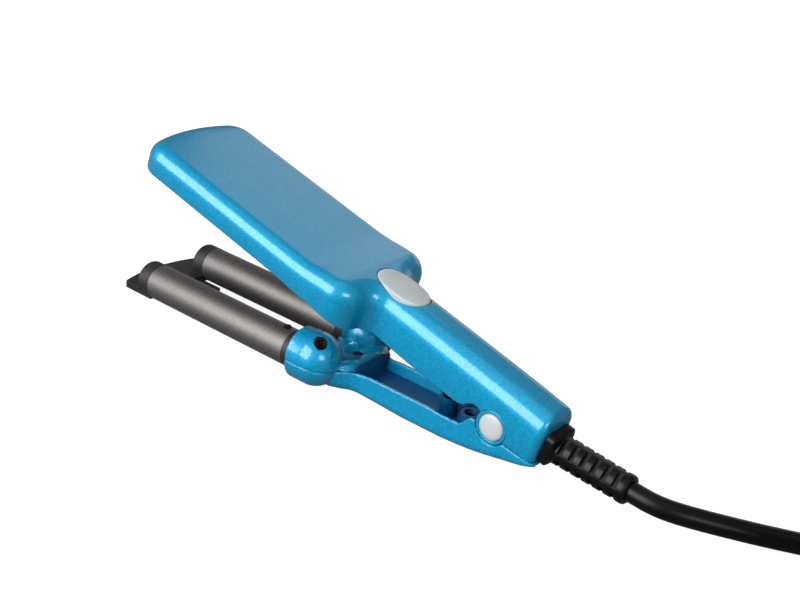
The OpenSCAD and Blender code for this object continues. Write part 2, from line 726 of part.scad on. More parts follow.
module rounded_slab(x0, x1, half_y, half_z, r) {
  translate([x0, 0, 0]) rotate([90, 0, 90]) linear_extrude(x1 - x0) {
    square([2 * half_y, 2 * (half_z - r)], center = true);
    square([2 * (half_y - r), 2 * half_z], center = true);
    for (u = [-1, 1]) for (v = [-1, 1]) translate([u * (half_y - r), v * (half_z - r)]) circle(r = r, $fn = 24);
  }
}

module along_sleeve() {
  arm_place() translate(sleeve_start) rotate([0, sleeve_tilt, 0]) children();
}

module strain_relief() {
  color([0.04, 0.04, 0.04])
  difference() {
    union() {
      handle_place() translate([0, 0, relief_z]) {
        rounded_slab(16.45, 19.6, 5.3, 5.05, 1);
        rounded_slab(14.6, 16.6, 3.8, 3.8, 0.6);
        rounded_slab(13.5, 14.6, 5.2, 4.8, 0.6);
      }
      along_sleeve() {
        rod_x(-2, sleeve_len, 3.85);
        rounded_slab(-1.5, sleeve_len - 1, 2.3, 4.35, 0.6);
        for (i = [0:5]) rounded_slab(0.4 + 4 * i, 2.9 + 4 * i, 4.9 - 0.06 * i, 4.9 - 0.06 * i, 1.6);
        rounded_slab(sleeve_len - 2.1, sleeve_len, 4.6, 4.6, 2);
      }
    }
    handle_place() rod_x(10, 19.4, lead_d / 2 + 0.04, 0, relief_z);
    along_sleeve() {
      rod_x(-2.9, sleeve_len + 2, lead_d / 2 + 0.04);
      translate([-2.9, 0, 0]) sphere(r = lead_d / 2 + 0.3, $fn = 48);
    }
  }
}

module cord_inside() {
  color([0.03, 0.03, 0.03]) {
    handle_place() rod_x(7.2, 18.2, lead_d / 2, 0, relief_z);
    along_sleeve() {
      rod_x(-2.9, sleeve_len, lead_d / 2);
      translate([-2.9, 0, 0]) sphere(r = lead_d / 2, $fn = 48);
    }
  }
}

// Route of the lead: points chosen by hand from the sleeve to the hank
lead_route = [[191.55, 0, -1.435], [194.4, 0.15, -1.73], [198.2, 0.95, -2.15], [202.5, 2.75, -2.65], [207.2, 5.5, -3.3],
  [216, 11.2, -4.5], [226, 17.6, -5.55], [238, 25, -6.2], [243.2, 28.2, -6.2], [248.9, 31.6, -6], [254.7, 34.45, -5.75],
  [260.2, 36.2, -5.55]];
hank_c = [296.2, 5.5];
hank_run = 20;
hank_out = 30.5;
hank_pitch = 7.3;
hank_waist = 3.2;
hank_layer = lead_d + 0.5;
hank_low = 4.15 - axis_h;
plug_y = -19;
plug_z = 36.4 - axis_h;
hank_loops = 6;
hank_in = hank_out - 1.5 * hank_pitch;

// After u loops: half the hank's width, the height of the lead, and its point in the lower arm's coordinates
function ease(t) = let (k = max(0, min(1, t))) k * k * (3 - 2 * k);
function hank_half(u) = u < 0 ? hank_out - hank_pitch * u
  : u > hank_loops ? hank_out + hank_pitch * (u - hank_loops)
  : let (f = u % 3) hank_in + hank_pitch * abs(1.5 - f);
function hank_lift(u) = hank_low + hank_layer * (ease(2 * u - 2.5) + ease(2 * u - 5.5) + ease(2 * u - 8.5));
function hank_dip(x) = hank_waist * (1 + cos(180 * x / hank_run)) / 2;
function bend(side, a, r, z) = [hank_c[0] + side * hank_run + r * cos(a), hank_c[1] + r * sin(a), z];
function hank_point(u) =
  let (r = hank_half(u), z = hank_lift(u), v = u > hank_loops ? u - hank_loops + 0.125 : (u + 1.125) % 1,
    x = hank_run * (v < 0.25 ? 8 * v - 1 : 5 - 8 * v))
  v < 0.25 ? [hank_c[0] + x, hank_c[1] + r - hank_dip(x), z]
  : v < 0.5 ? bend(1, 270 - 720 * v, r, z)
  : v < 0.75 ? [hank_c[0] + x, hank_c[1] - r + hank_dip(x), z]
  : bend(-1, 810 - 720 * v, r, z);

// 24 rings a loop: 4 along each run and 8 round each bend
function ring_turn(i) = floor(i / 24) + lookup((i + 24) % 24, [[0, 0], [2, 0.125], [10, 0.375], [14, 0.625],
  [22, 0.875], [24, 1]]);
tail_out = hank_half(hank_loops + 0.125);
tail_r = (tail_out - plug_y) / 2;
tail_bend = [for (i = [1:8]) [hank_c[0] + hank_run + tail_r * cos(90 - 22.5 * i),
  hank_c[1] + (tail_out + plug_y) / 2 + tail_r * sin(90 - 22.5 * i), 0]];
tail_low = hank_lift(hank_loops);
function climb(p, i) = [p[0], p[1], tail_low + (plug_z - tail_low) * ease(i / 9)];
hank_head = hank_point(-0.125);
hank_route = concat([hank_head - [7, 0, 0], hank_head - [3.5, 0, 0]],
  [for (i = [-2:24 * hank_loops - 1]) hank_point(ring_turn(i))],
  [for (i = [0:2]) climb(hank_point(ring_turn(24 * hank_loops + i)), i)],
  [for (i = [0:7]) climb(tail_bend[i], i + 3)],
  [for (d = [3.25, 7]) [hank_c[0] + hank_run - d, hank_c[1] + plug_y, plug_z]]);

function gap_to_self(p, k) = min([for (i = [0:len(p) - 1]) for (j = [i + k:1:len(p) - 1]) norm(p[i] - p[j])]);
echo(hank_gap = gap_to_self(hank_route, 12) - lead_d);
function path_len(p, i = 0) = i >= len(p) - 1 ? 0 : norm(p[i + 1] - p[i]) + path_len(p, i + 1);
cord_path = concat([sleeve_end], smooth(concat(lead_route, [hank_route[0] - [3.3, 0, 0]]), 3), [hank_route[0]]);
echo(cord_len = path_len(cord_path), hank_len = path_len(hank_route));

module cord() {
  color([0.03, 0.03, 0.03]) arm_place() tube(cord_path, lead_d / 2, 10);
}

module cord_hank() {
  color([0.03, 0.03, 0.03]) arm_place() tube(hank_route, lead_d / 2, 6);
}

// Strap round the waist of the hank
module tie_outline(inset) {
  x0 = inset;
  x1 = 29.45 - inset;
  y0 = -28.6 + inset;
  y1 = 32.3 - inset;
  r = 3 - inset;
  translate([y0 + r, x0]) square([y1 - y0 - 2 * r, x1 - x0]);
  translate([y0, x0 + r]) square([y1 - y0, x1 - x0 - 2 * r]);
  for (y = [y0 + r, y1 - r]) for (x = [x0 + r, x1 - r]) translate([y, x]) circle(r = r, $fn = 32);
}

module cord_tie() {
  color([0.06, 0.06, 0.06])
  arm_place() translate([hank_c[0] - 4.5, hank_c[1], -axis_h]) rotate([90, 0, 90]) linear_extrude(9) difference() {
    tie_outline(0);
    tie_outline(0.8);
  }
}

module plug_place() {
  arm_place() translate(hank_route[len(hank_route) - 1]) rotate([0, 0, -90]) children();
}

module plug_body() {
  color([0.04, 0.04, 0.04])
  plug_place() {
    for (i = [0:2]) rod_y(-3.2 - 4 * i, -0.8 - 4 * i + (i == 0 ? 0.8 : 0), 4.6 + 0.35 * i);
    rod_y(-14, -1, 4);
    translate([0, -13, -6.8]) linear_extrude(13.6) polygon([[-5.5, 0], [5.5, 0], [8.5, -6], [12.8, -12],
      [13.1, -20], [12.2, -25], [-12.2, -25], [-13.1, -20], [-12.8, -12], [-8.5, -6]]);
  }
}

module plug_pins() {
  color([0.8, 0.78, 0.7])
  plug_place() for (x = [-9.3, 9.3]) {
    rod_y(-57, -38, 2, x, 0, 32);
    translate([x, -57, 0]) sphere(r = 2, $fn = 32);
  }
}

upper_shell();
heat_shield();
base_cover();
cord_clamp();
power_button();
tact_switch();
button_spring();
control_board();
board_parts();
thermal_fuse();
power_leads();
heater_leads();
middle_barrel();
middle_tip();
middle_collar();
middle_heater();
middle_element();
holder_screws();
shield_screws();
cover_screw();
clamp_screws();
pivot_screw();
near_pivot_cap();
far_pivot_cap();
arm_base();
arm_cover();
near_barrel();
far_barrel();
near_collar();
far_collar();
tip_bridge();
near_heater();
far_heater();
near_element();
far_element();
arm_leads();
barrel_screws();
socket_screws();
arm_screws();
return_spring();
strain_relief();
cord_inside();
cord();
cord_hank();
cord_tie();
plug_body();
plug_pins();
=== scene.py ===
import bpy
import bmesh
import json
import math
from mathutils import Matrix, Vector

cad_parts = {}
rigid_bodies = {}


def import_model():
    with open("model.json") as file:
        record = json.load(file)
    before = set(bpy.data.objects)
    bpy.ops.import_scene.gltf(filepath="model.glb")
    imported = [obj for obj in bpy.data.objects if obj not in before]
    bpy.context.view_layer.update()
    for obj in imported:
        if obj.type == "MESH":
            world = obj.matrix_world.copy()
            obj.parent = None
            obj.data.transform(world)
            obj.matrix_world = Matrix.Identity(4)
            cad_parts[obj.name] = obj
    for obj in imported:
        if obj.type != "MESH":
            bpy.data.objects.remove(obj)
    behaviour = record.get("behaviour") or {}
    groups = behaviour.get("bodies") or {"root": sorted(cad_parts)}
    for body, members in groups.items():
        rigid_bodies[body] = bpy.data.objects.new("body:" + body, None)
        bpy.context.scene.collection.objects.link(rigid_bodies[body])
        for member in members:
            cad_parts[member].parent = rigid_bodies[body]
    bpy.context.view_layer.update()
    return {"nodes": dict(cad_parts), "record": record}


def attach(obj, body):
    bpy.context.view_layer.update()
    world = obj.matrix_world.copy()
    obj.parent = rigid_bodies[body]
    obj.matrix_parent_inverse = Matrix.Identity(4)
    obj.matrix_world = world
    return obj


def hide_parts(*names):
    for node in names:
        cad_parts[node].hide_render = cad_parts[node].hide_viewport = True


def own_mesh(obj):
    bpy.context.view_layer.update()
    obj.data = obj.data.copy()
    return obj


for leftover in list(bpy.data.objects):
    bpy.data.objects.remove(leftover)

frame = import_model()
nodes = frame["nodes"]
scene = bpy.context.scene
scene.view_settings.view_transform = "Standard"
print("frame loaded:", len(nodes), "CAD nodes")

# millimetres on each arm -> metres where the waver lies; both arms have X toward the lead and Z up
toMetres = Matrix.Scale(0.001, 4)
openAngle = math.radians(14.8)
armPlace = Matrix.Translation((-0.0862, 0, 0.0096)) @ toMetres
handlePlace = Matrix.Translation((0.0568, 0, 0.0126)) @ Matrix.Rotation(openAngle, 4, "Y") @ toMetres


# small helpers for nodes and materials
def srgb(code):
    channels = [int(code[i : i + 2], 16) / 255 for i in (1, 3, 5)]
    return tuple(c / 12.92 if c <= 0.04045 else ((c + 0.055) / 1.055) ** 2.4 for c in channels) + (1,)


def addNode(tree, kind, values=None, links=None, stops=None, **settings):
    node = tree.nodes.new(kind)
    for key, value in settings.items():
        setattr(node, key, value)
    for key, value in (values or {}).items():
        node.inputs[key].default_value = value
    for key, socket in (links or {}).items():
        tree.links.new(socket, node.inputs[key])
    if stops:  # positions and colours of a colour ramp
        for stop, (position, code) in zip(node.color_ramp.elements, stops):
            stop.position, stop.color = position, srgb(code)
    return node


def startMaterial(name, settings):
    mat = bpy.data.materials.new(name)
    mat.use_nodes = True
    tree = mat.node_tree
    shader = tree.nodes["Principled BSDF"]
    for key, value in settings.items():
        shader.inputs[key].default_value = value
    coords = addNode(tree, "ShaderNodeTexCoord").outputs["Object"]
    return mat, tree, shader, coords


def connect(tree, shader, sockets):
    for key, socket in sockets.items():
        tree.links.new(socket, shader.inputs[key])


# camera at the photograph's viewing angle
camera = {
    "place": (0.239617, -0.310352, 0.210889),
    "right": (0.76899976, 0.6295177, 0.11111635),
    "up": (-0.34207276, 0.25839801, 0.90344712),
    "back": (0.54002371, -0.73276049, 0.41404886),
    "lens": 59.856,
    "sensor": 36.0,
    "clip": (0.01, 20),
}
cameraData = bpy.data.cameras.new("camera")
cameraData.lens = camera["lens"]
cameraData.sensor_width = camera["sensor"]
cameraData.clip_start, cameraData.clip_end = camera["clip"]
cameraObject = bpy.data.objects.new("camera", cameraData)
scene.collection.objects.link(cameraObject)
cameraTurn = Matrix((camera["right"], camera["up"], camera["back"])).transposed().to_4x4()
cameraObject.matrix_world = Matrix.Translation(camera["place"]) @ cameraTurn
scene.camera = cameraObject


# studio: floor, a soft box on each side, a pale panel behind, weak fill for the back and a weak lamp overhead
studio = {
    "ambient": 0.16,
    "paper": "#949494",
    "paperLift": 0.88,  # added where the camera sees the floor, which brings it to white
    "floorSize": 1.3,
    "floorDrop": 0.0002,  # keeps the floor clear of the faces that lie on it
    "boxes": {
        "leftBox": {"toward": (-0.31, -0.83, 0.46), "away": 1.2, "size": (1.0, 0.98), "glow": 6.0},
        "rightBox": {"toward": (0.82, -0.42, 0.37), "away": 1.3, "size": (0.5, 0.4), "glow": 7.6},
        "backPanel": {"toward": (-0.365, 0.69, 0.625), "away": 1.5, "size": (0.4, 0.8), "glow": 0.95},
        "rearFill": {"toward": (-0.25, 0.94, 0.22), "away": 1.5, "size": (1.1, 0.6), "glow": 0.8},
        "overhead": {"toward": (0.1, -0.1, 1.0), "away": 1.4, "size": (1.0, 1.0), "glow": 0.45},
    },
}
white = (1, 1, 1, 1)

world = bpy.data.worlds.new("studio")
scene.world = world
world.use_nodes = True
worldTree = world.node_tree
worldTree.nodes.clear()
lightPath = addNode(worldTree, "ShaderNodeLightPath")
ambient = addNode(worldTree, "ShaderNodeBackground", {"Color": white, "Strength": studio["ambient"]})
backdrop = addNode(worldTree, "ShaderNodeBackground", {"Color": white, "Strength": 1.0})
worldMix = addNode(
    worldTree,
    "ShaderNodeMixShader",
    links={0: lightPath.outputs["Is Camera Ray"], 1: ambient.outputs[0], 2: backdrop.outputs[0]},
)
addNode(worldTree, "ShaderNodeOutputWorld", links={"Surface": worldMix.outputs[0]})

floorMesh = bpy.data.meshes.new("floor")
floorForm = bmesh.new()
bmesh.ops.create_grid(floorForm, x_segments=1, y_segments=1, size=studio["floorSize"])
bmesh.ops.translate(floorForm, verts=floorForm.verts, vec=(0, 0, -studio["floorDrop"]))
floorForm.to_mesh(floorMesh)
floorForm.free()
floor = bpy.data.objects.new("floor", floorMesh)
scene.collection.objects.link(floor)
floorMat = bpy.data.materials.new("paperSweep")  # matt grey paper, lifted to white where the camera sees it
floorMat.use_nodes = True
floorTree = floorMat.node_tree
floorTree.nodes.clear()
paper = addNode(floorTree, "ShaderNodeBsdfDiffuse", {"Color": srgb(studio["paper"]), "Roughness": 1.0})
lift = addNode(floorTree, "ShaderNodeEmission", {"Color": white, "Strength": studio["paperLift"]})
liftedPaper = addNode(floorTree, "ShaderNodeAddShader", links={0: paper.outputs[0], 1: lift.outputs[0]})
floorPath = addNode(floorTree, "ShaderNodeLightPath")
floorMix = addNode(
    floorTree,
    "ShaderNodeMixShader",
    links={0: floorPath.outputs["Is Camera Ray"], 1: paper.outputs[0], 2: liftedPaper.outputs[0]},
)
addNode(floorTree, "ShaderNodeOutputMaterial", links={"Surface": floorMix.outputs[0]})
floorMesh.materials.append(floorMat)

for boxName, box in studio["boxes"].items():
    boxData = bpy.data.lights.new(boxName, "AREA")
    boxData.shape = "RECTANGLE"
    boxData.size, boxData.size_y = box["size"]
    boxData.energy = box["glow"] * math.pi * box["size"][0] * box["size"][1]
    boxObject = bpy.data.objects.new(boxName, boxData)
    scene.collection.objects.link(boxObject)
    toward = Vector(box["toward"]).normalized()
    boxObject.location = toward * box["away"]
    boxObject.rotation_mode = "QUATERNION"
    boxObject.rotation_quaternion = toward.to_track_quat("Z", "Y")
    boxObject.visible_camera = False
print("camera and studio ready")


# pearl paint: fine mica flakes in a blue coat under clear lacquer, so it glows softly and mirrors the boxes
pearl = {
    "finish": {
        "Metallic": 0.26, "Roughness": 0.5, "Specular IOR Level": 0.25,
        "Coat Weight": 0.8, "Coat Roughness": 0.15, "Coat IOR": 1.6,
    },
    "pigment": ("#008fbe", "#00b0e0"),  # darkest and lightest flakes
    "grazing": "#00608f",  # deeper blue where the surface turns away
    "grazingBlend": 0.35,
    "grazingShare": 0.75,
    "bare": "#004a78",  # painted shade inside the tray: a darker blue
    # lacquer left where the tray is painted as shade, so that it mirrors less
    "bareCoat": 0.05,
    "bareFade": 0.0025,  # metres over which the painted shade and the thinner lacquer come in
    "flake": 0.35,  # mm; real ones are about 0.1, drawn one pixel wide so that they show
    "flakeTilt": 0.14,
    "clouds": 90.0,  # per metre: patches some 11 mm across with a slightly different polish
    "polish": (0.44, 0.54),
    "peel": 420.0,  # per metre: waves of 2.4 mm left in the lacquer by spraying
    "peelDepth": 0.00004,
    "peelStrength": 0.12,
}


def makePearlPaint(name, edge, bareFrom=None):  # edge rounding in mm; the last argument is an X in metres from which the tray is painted darker as shade
    mat, tree, shader, coords = startMaterial(name, pearl["finish"])
    flakes = addNode(tree, "ShaderNodeTexVoronoi", {"Scale": 1000 / pearl["flake"]}, {"Vector": coords})
    flakeShade = addNode(tree, "ShaderNodeSeparateColor", links={"Color": flakes.outputs["Color"]})
    dark, light = pearl["pigment"]
    pigment = addNode(
        tree, "ShaderNodeValToRGB", links={"Fac": flakeShade.outputs["Red"]}, stops=((0, dark), (1, light)),
    )
    colour = pigment.outputs["Color"]
    # past the given X the tray is painted darker as shade, and its lacquer thins so that it mirrors less
    if bareFrom:
        alongX = addNode(tree, "ShaderNodeSeparateXYZ", links={"Vector": coords}).outputs["X"]
        limits = {"From Min": bareFrom, "From Max": bareFrom + pearl["bareFade"]}
        inside = addNode(tree, "ShaderNodeMapRange", limits, {"Value": alongX}).outputs[0]
        coatEnds = {"To Min": pearl["finish"]["Coat Weight"], "To Max": pearl["bareCoat"]}
        coat = addNode(tree, "ShaderNodeMapRange", coatEnds, {"Value": inside})
        connect(tree, shader, {"Coat Weight": coat.outputs[0]})
        bare = {"B": srgb(pearl["bare"])}
        colour = addNode(
            tree, "ShaderNodeMix", bare, {"Factor": inside, "A": colour}, data_type="RGBA",
        ).outputs["Result"]
    facing = addNode(tree, "ShaderNodeLayerWeight", {"Blend": pearl["grazingBlend"]})
    share = {"To Min": 0.0, "To Max": pearl["grazingShare"]}
    turnedAway = addNode(tree, "ShaderNodeMapRange", share, {"Value": facing.outputs["Facing"]})
    deeper = addNode(
        tree,
        "ShaderNodeMix",
        {"B": srgb(pearl["grazing"])},
        {"Factor": turnedAway.outputs[0], "A": colour},
        data_type="RGBA",
    )
    cloudSize = {"Scale": pearl["clouds"], "Detail": 3.0}
    clouds = addNode(tree, "ShaderNodeTexNoise", cloudSize, {"Vector": coords})
    polishEnds = dict(zip(("To Min", "To Max"), pearl["polish"]))
    polish = addNode(tree, "ShaderNodeMapRange", polishEnds, {"Value": clouds.outputs["Fac"]})
    rounded = addNode(tree, "ShaderNodeBevel", {"Radius": edge / 1000}, samples=6)
    middle = (0.5, 0.5, 0.5)
    centred = addNode(
        tree, "ShaderNodeVectorMath", {1: middle}, {0: flakes.outputs["Color"]}, operation="SUBTRACT",
    )
    tilted = addNode(
        tree,
        "ShaderNodeVectorMath",
        {1: (pearl["flakeTilt"],) * 3},
        {0: centred.outputs[0], 2: rounded.outputs[0]},
        operation="MULTIPLY_ADD",
    )
    levelled = addNode(tree, "ShaderNodeVectorMath", links={0: tilted.outputs[0]}, operation="NORMALIZE")
    peel = addNode(tree, "ShaderNodeTexNoise", {"Scale": pearl["peel"], "Detail": 2.0}, {"Vector": coords})
    lacquer = addNode(
        tree,
        "ShaderNodeBump",
        {"Strength": pearl["peelStrength"], "Distance": pearl["peelDepth"]},
        {"Height": peel.outputs["Fac"], "Normal": rounded.outputs[0]},
    )
    connect(tree, shader, {
        "Base Color": deeper.outputs["Result"],
        "Roughness": polish.outputs[0],
        "Normal": levelled.outputs[0],
        "Coat Normal": lacquer.outputs[0],
    })
    return mat


# shared end of the plain finishes: two-tone colour, uneven polish, rounded edges and a fine relief
def finishPlain(tree, shader, tones, toneFrom, reliefFrom, roughness, relief, edge, sway, edgeSamples):
    low, high = 0.3, 0.7  # noise seldom leaves this range
    tint = addNode(
        tree, "ShaderNodeValToRGB", links={"Fac": toneFrom}, stops=((low, tones[0]), (high, tones[1])),
    )
    polishEnds = {"To Min": roughness - sway, "To Max": roughness + sway}
    polish = addNode(tree, "ShaderNodeMapRange", polishEnds, {"Value": reliefFrom})
    rounded = addNode(tree, "ShaderNodeBevel", {"Radius": edge / 1000}, samples=edgeSamples)
    bump = addNode(tree, "ShaderNodeBump", relief, {"Height": reliefFrom, "Normal": rounded.outputs[0]})
    connect(tree, shader, {
        "Base Color": tint.outputs["Color"], "Roughness": polish.outputs[0], "Normal": bump.outputs[0],
    })


# moulded thermoplastic: fine spark texture on a plain base; grain, depth and edge are in mm
def makeMoulded(name, dark, light, roughness, grain, depth, edge, specular=0.5):
    settings = {"Roughness": roughness, "IOR": 1.5, "Specular IOR Level": specular}
    mat, tree, shader, coords = startMaterial(name, settings)
    sparkSize = {"Scale": 1000 / grain, "Detail": 4.0}
    sparks = addNode(tree, "ShaderNodeTexNoise", sparkSize, {"Vector": coords}).outputs["Fac"]
    flowMarks = {"Scale": 110.0, "Detail": 3.0}  # per metre: soft patches some 9 mm across
    patches = addNode(tree, "ShaderNodeTexNoise", flowMarks, {"Vector": coords}).outputs["Fac"]
    relief = {"Strength": 0.35, "Distance": depth / 1000}
    finishPlain(
        tree, shader, (dark, light), patches, sparks, roughness, relief, edge, sway=0.07, edgeSamples=6,
    )
    return mat


# metal: drawn or turned lines and a little unevenness in the polish; grain is their size in mm on X, Y, Z
def makeMetal(name, dark, light, roughness, grain, edge):
    mat, tree, shader, coords = startMaterial(name, {"Metallic": 1.0, "Roughness": roughness})
    lineSize = {"Scale": [1000 / size for size in grain]}
    drawn = addNode(tree, "ShaderNodeMapping", lineSize, {"Vector": coords}).outputs[0]
    noise = {"Scale": 1.0, "Detail": 3.0}  # the mapping has set the size already
    lines = addNode(tree, "ShaderNodeTexNoise", noise, {"Vector": drawn}).outputs["Fac"]
    relief = {"Strength": 0.25, "Distance": 0.00002}
    finishPlain(
        tree, shader, (dark, light), lines, lines, roughness, relief, edge, sway=0.06, edgeSamples=4,
    )
    return mat


materials = {
    # sprayed pearl paint on moulded ABS: soft blue glow with tiny flakes
    "pearl_blue": makePearlPaint("pearlPaintOnAbs", 0.4),
    # moulded ABS, satin: even pale grey with a wide, weak highlight
    "grey_trim": makeMoulded("satinGreyAbs", "#bcc3c6", "#cbd1d3", 0.42, 0.5, 0.02, 0.3),
    # glass-filled PBT, spark-textured: dull, slightly warm black
    "black_plastic": makeMoulded("blackGlassFilledPbt", "#1d1d1f", "#2a2929", 0.5, 0.35, 0.03, 0.3),
    # ceramic coating sprayed on aluminium tube: warm grey with a broad streak of light
    "barrel_metal": makeMetal("ceramicCoatedTube", "#7b7774", "#8c8986", 0.54, (10 / 9, 0.4, 0.4), 0.2),
    # extruded aluminium: pale, with long lines
    "core_metal": makeMetal("extrudedAluminium", "#a9abad", "#c4c6c8", 0.35, (5, 0.25, 0.25), 0.2),
    # fired ceramic in its insulation: dull brown-grey
    "heating_strip": makeMoulded("ceramicHeater", "#57524b", "#6b655c", 0.6, 0.4, 0.03, 0.1),
    # zinc-plated steel, turned: bright and clean
    "screw_steel": makeMetal("zincPlatedSteel", "#a5a7a8", "#c3c5c6", 0.3, (0.4, 0.4, 0.4), 0.1),
    # blackened steel: near black with small sharp glints
    "dark_screw": makeMetal("blackenedSteel", "#232325", "#3a3a3d", 0.34, (0.4, 0.4, 0.4), 0.1),
    # drawn spring wire: grey with thin highlights along each turn
    "spring_steel": makeMetal("springWire", "#5f6163", "#7c7f82", 0.36, (5 / 3, 5 / 3, 5 / 3), 0.05),
    # glass epoxy under solder mask: green with a slight gloss
    "board": makeMoulded("glassEpoxyBoard", "#0f4a26", "#1c6b38", 0.45, 0.6, 0.02, 0.1),
    # moulded epoxy: flat black
    "component": makeMoulded("componentEpoxy", "#1a1a1c", "#2c2c2f", 0.5, 0.4, 0.02, 0.2),
    # drawn tinned can: warm pale metal
    "fuse_metal": makeMetal("tinnedFuseCase", "#a39d8f", "#bdb7a8", 0.35, (2, 1 / 3, 1 / 3), 0.1),
    # extruded PVC: brown, smooth
    "lead_brown": makeMoulded("brownPvcInsulation", "#4e2a12", "#5f361a", 0.4, 0.5, 0.02, 0.1),
    # extruded silicone: red, softer highlight
    "lead_red": makeMoulded("redSiliconeInsulation", "#8e1410", "#a91d17", 0.5, 0.5, 0.02, 0.1),
    # extruded and moulded PVC: deep black with a satin edge of light
    "lead_black": makeMoulded("blackPvcSheath", "#040405", "#09090b", 0.36, 0.6, 0.02, 0.2, 0.28),
    # nickel-plated brass: bright with a hint of yellow
    "pin_metal": makeMetal("nickelPlatedBrass", "#bdb8a8", "#d2cdbd", 0.22, (10 / 3, 1 / 3, 1 / 3), 0.2),
}
armPaint = {
    "arm_base": makePearlPaint("pearlPaintOnArm", 1.2),  # its edges are rounder
    # the tray of this cover gets painted shade from X 0.5 mm on
    "arm_cover": makePearlPaint("pearlPaintWithTrayShade", 0.5, bareFrom=0.0005),
}
# painted shade deep in a screw hole: almost black
shadedHole = makeMoulded("bareAbsInScrewHole", "#060a0d", "#0a1116", 0.6, 0.4, 0.02, 0.1, 0.15)
print("materials:", len(materials) + len(armPaint) + 1)

# every CAD node takes the finish its slot names, whether it stays in view or not
slotOf = {part["node"]: part["material_slot"] for part in frame["record"]["subparts"]}
for nodeName, node in nodes.items():
    node.data.materials.clear()
    node.data.materials.append(armPaint.get(nodeName) or materials[slotOf[nodeName]])


# shapes are built in millimetres on their arm, then placed
roundSteps = 96
turnTo = {
    "X": Matrix.Rotation(math.pi / 2, 3, "Y"),
    "Y": Matrix.Rotation(-math.pi / 2, 3, "X"),
    "Z": Matrix.Identity(3),
}


def finishPiece(form, name, place, nodeNames, body, material=None, sharp=35, merge=0.002):
    bmesh.ops.remove_doubles(form, verts=form.verts, dist=merge)
    bmesh.ops.recalc_face_normals(form, faces=form.faces)
    bmesh.ops.transform(form, matrix=place, verts=form.verts)
    mesh = bpy.data.meshes.new(name)
    form.to_mesh(mesh)
    form.free()
    piece = bpy.data.objects.new(name, mesh)
    scene.collection.objects.link(piece)
    mesh.shade_smooth()
    mesh.set_sharp_from_angle(angle=math.radians(sharp))
    mesh.materials.clear()
    mesh.materials.append(material or materials[slotOf[nodeNames[0]]])
    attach(piece, body)
    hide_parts(*nodeNames)
    return piece


def asBlank(form):  # a temporary object of a form, for the modifiers that work on objects
    mesh = bpy.data.meshes.new("blank")
    form.to_mesh(mesh)
    form.free()
    blank = bpy.data.objects.new("blank", mesh)
    scene.collection.objects.link(blank)
    return blank


def carve(form, cutters, operation="DIFFERENCE"):
    bmesh.ops.recalc_face_normals(form, faces=form.faces)
    blank = asBlank(form)
    tools = [asBlank(cutter) for cutter in cutters]
    for tool in tools:
        cut = blank.modifiers.new("cut", "BOOLEAN")
        cut.operation, cut.solver, cut.object = operation, "EXACT", tool
    carved = bmesh.new()
    carved.from_object(blank, bpy.context.evaluated_depsgraph_get())
    for spent in tools + [blank]:
        bpy.data.objects.remove(spent)
    return carved


def joinForms(forms):
    whole = bmesh.new()
    for form in forms:
        spare = bpy.data.meshes.new("spare")
        form.to_mesh(spare)
        form.free()
        whole.from_mesh(spare)
        bpy.data.meshes.remove(spare)
    return whole


def rodForm(start, end, radius, axis, at=(0, 0, 0)):  # as a cutter it runs past both ends of its hole
    form = bmesh.new()
    bmesh.ops.create_cone(
        form, cap_ends=True, segments=roundSteps, radius1=radius, radius2=radius, depth=end - start,
    )
    bmesh.ops.translate(form, verts=form.verts, vec=(0, 0, (start + end) / 2))
    bmesh.ops.rotate(form, verts=form.verts, matrix=turnTo[axis])
    bmesh.ops.translate(form, verts=form.verts, vec=at)
    return form


def blockForm(low, high):
    form = bmesh.new()
    bmesh.ops.create_cube(form, size=1)
    for v in form.verts:
        v.co = [(a if c < 0 else b) for c, a, b in zip(v.co, low, high)]
    return form


def pullRing(form, edges, place):  # extrudes a run of edges and puts each new vertex where place says
    made = bmesh.ops.extrude_edge_only(form, edges=edges)["geom"]
    for vert in (g for g in made if isinstance(g, bmesh.types.BMVert)):
        vert.co = place(vert)
    return [g for g in made if isinstance(g, bmesh.types.BMEdge)]


def ovalAt(halfLong, halfWide, angle, power):
    c, s = math.cos(angle), math.sin(angle)
    return (math.copysign(halfLong * abs(c) ** power, c), math.copysign(halfWide * abs(s) ** power, s))


def ovalForm(rings, power=0.85, centreX=0):  # rings are (half length, half width, height), bottom up
    form = bmesh.new()
    number = form.verts.layers.int.new("number")  # carried up from ring to ring
    bmesh.ops.create_circle(form, cap_ends=False, segments=roundSteps, radius=1)
    bearings = [math.atan2(v.co.y, v.co.x) for v in form.verts]
    for i, v in enumerate(form.verts):
        v[number] = i

    def onRing(k):
        halfLong, halfWide, z = rings[k]
        return lambda v: (*ovalAt(halfLong, halfWide, bearings[v[number]], power), z)

    for v in form.verts:
        v.co = onRing(0)(v)
    ring = list(form.edges)
    bmesh.ops.contextual_create(form, geom=ring)
    for k in range(1, len(rings)):
        ring = pullRing(form, ring, onRing(k))
    bmesh.ops.contextual_create(form, geom=ring)
    form.verts.layers.int.remove(number)
    bmesh.ops.translate(form, verts=form.verts, vec=(centreX, 0, 0))
    return form


def turned(outline, side):  # (radius, y) points spun round the Y axis, on the near or far side
    form = bmesh.new()
    verts = [form.verts.new((r, side * y, 0)) for r, y in outline]
    edges = [form.edges.new((a, b)) for a, b in zip(verts, verts[1:])]
    bmesh.ops.spin(
        form, geom=verts + edges, cent=(0, 0, 0), axis=(0, 1, 0), angle=math.tau, steps=roundSteps,
        use_merge=True,
    )
    bmesh.ops.remove_doubles(form, verts=form.verts, dist=0.001)
    bmesh.ops.dissolve_degenerate(form, edges=form.edges, dist=0.0005)
    return form


